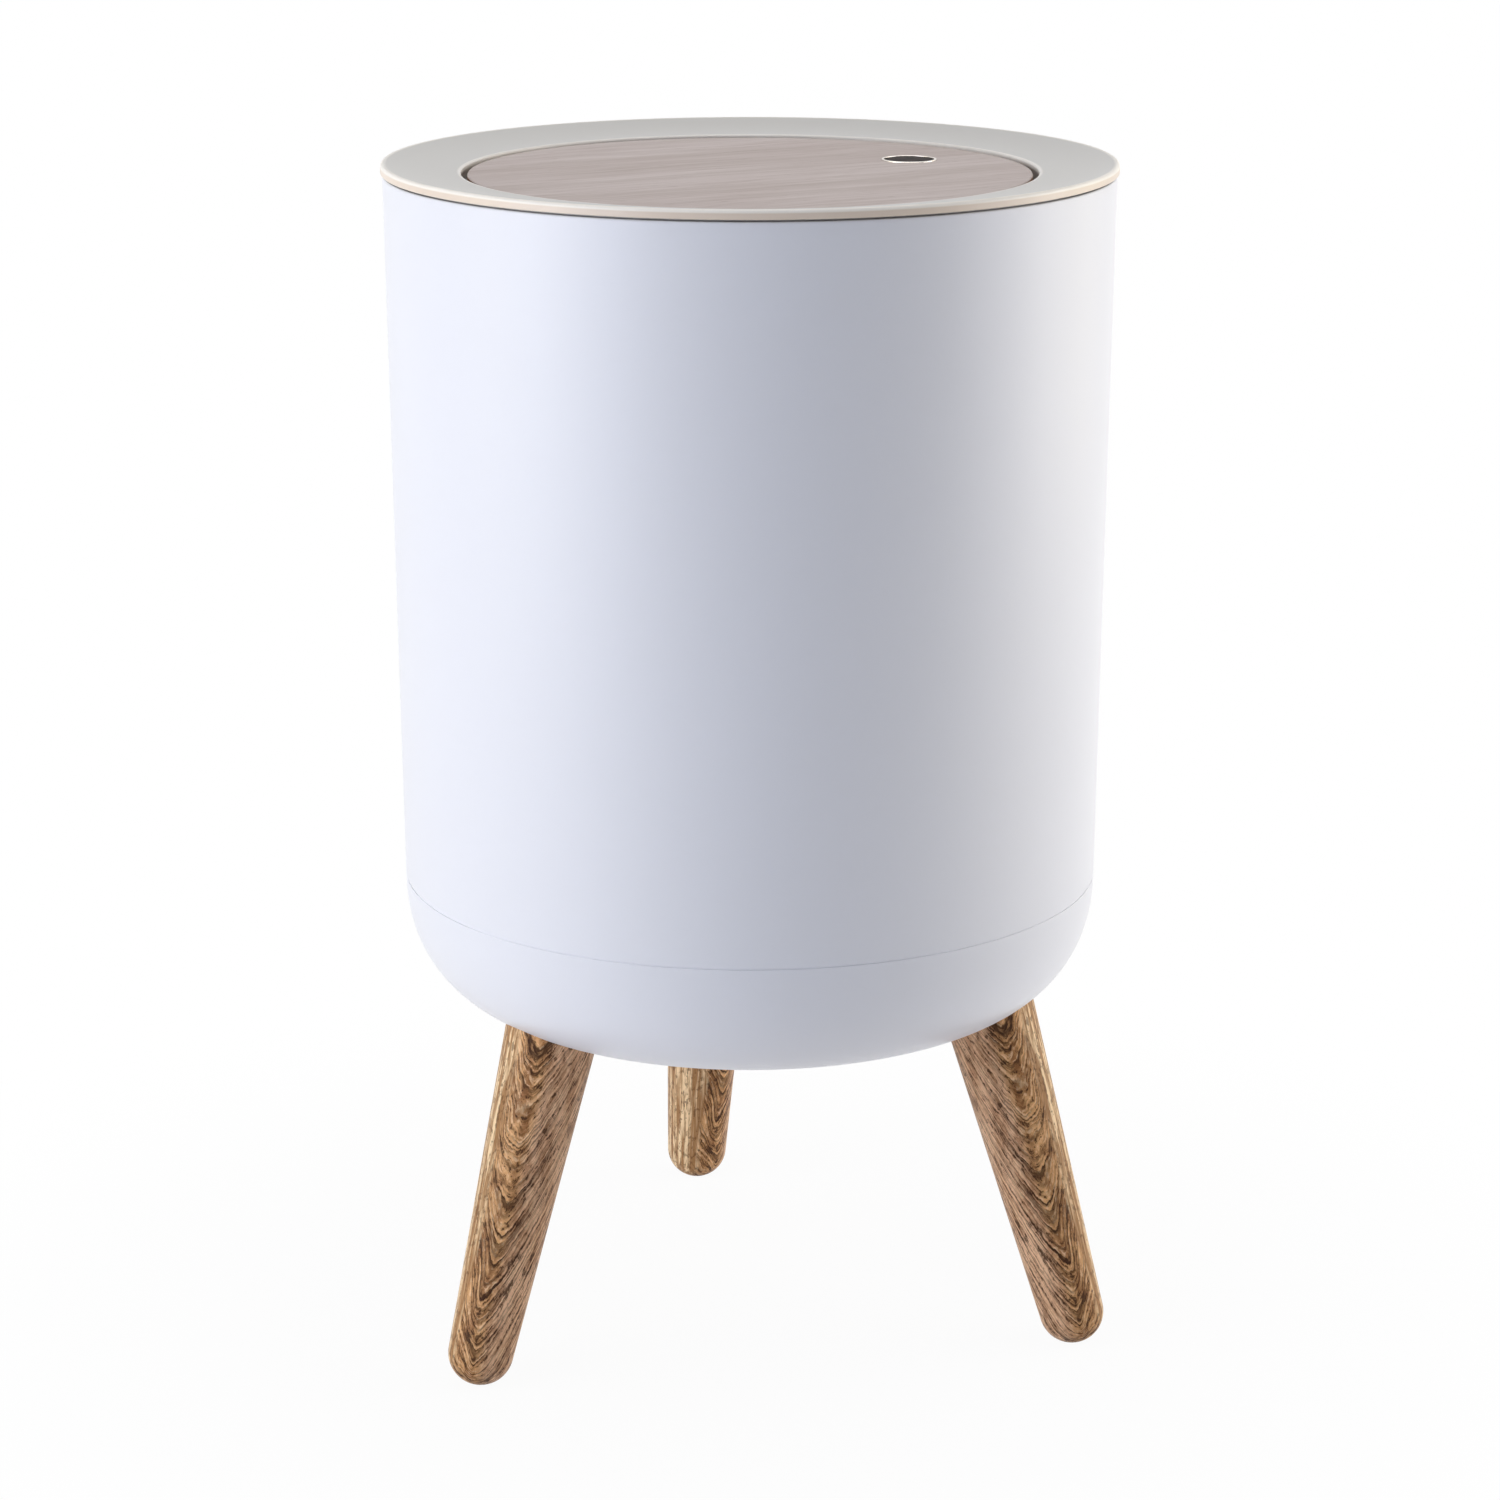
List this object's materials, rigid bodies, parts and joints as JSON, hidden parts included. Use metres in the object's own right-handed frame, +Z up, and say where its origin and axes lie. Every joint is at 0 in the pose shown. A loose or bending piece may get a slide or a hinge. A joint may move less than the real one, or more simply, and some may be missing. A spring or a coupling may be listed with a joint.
{
  "type": "push-top bin",
  "caption": "Round household bin in a rounded base cup on splayed wooden legs, with a sprung push panel in a lift-off ring lid over a lift-out bucket.",
  "frame": {"origin": "middle of the footprint on the floor: the centre of the box around the part, at its bottom; the barrel's axis stands 3.23 mm in front of it", "axes": "+Z up from the floor, the press side with the badge faces -Y, the panel's hinge is at +Y, +X to the right seen from the press side"},
  "size_m": [0.2602, 0.2664, 0.43],
  "materials": {
    "shell_white": "smooth, satin to gloss",
    "ring_cream": "satin",
    "inner_white": "moulded, satin",
    "panel_wood": "fine pale wood-grain film, satin",
    "leg_wood": "tan with dark cathedral grain, satin",
    "mechanism_dark": "moulded",
    "badge_dark": "polished",
    "badge_metal": "polished",
    "bucket_grey": "moulded, satin",
    "steel": "zinc plated",
    "brass": "turned"
  },
  "bodies": {
    "stand": {"outer_shell": "shell_white", "base_cup": "shell_white", "leg_rear": "leg_wood", "leg_front_left": "leg_wood", "leg_front_right": "leg_wood", "leg_studs": "steel", "leg_inserts": "brass", "base_screws": "steel"},
    "lid": {"lid_ring": "ring_cream", "lid_frame": "inner_white", "lid_screws": "steel", "hinge_bracket": "inner_white", "hinge_pin": "steel", "hinge_spring": "steel", "latch_housing": "inner_white", "latch_follower": "steel", "latch_spring": "steel", "bracket_screws": "steel"},
    "panel": {"panel_top": "panel_wood", "panel_base": "inner_white", "striker": "mechanism_dark", "panel_screws": "steel", "badge_disc": "badge_dark", "badge_rim": "badge_metal"},
    "bucket": {"inner_bucket": "bucket_grey"},
    "handle": {"bucket_handle": "steel"}
  },
  "joints": [
    {"name": "lid_lift", "type": "slide", "parent": "stand", "child": "lid", "axis": [0, 0, 1], "range_m": [0, 0.6]},
    {"name": "panel_open", "type": "hinge", "parent": "lid", "child": "panel", "pos_m": [0, 0.10627, 0.4195], "axis": [-1, 0, 0], "range_deg": [-0.75, 85], "stiffness_Nm_per_rad": 0.1, "springref_deg": 116.08, "deforming": ["hinge_spring", "latch_spring", "latch_follower"]},
    {"name": "bucket_lift", "type": "slide", "parent": "stand", "child": "bucket", "axis": [0, 0, 1], "range_m": [0, 0.3]},
    {"name": "handle_swing", "type": "hinge", "parent": "bucket", "child": "handle", "pos_m": [0, -0.00323, 0.386], "axis": [1, 0, 0], "range_deg": [0, 108]}
  ],
  "couplings": [
    {"joint": "bucket_lift", "follows": "lid_lift", "ratio": 0.5},
    {"joint": "handle_swing", "follows": "lid_lift", "rad_per_m": 3.14}
  ]
}
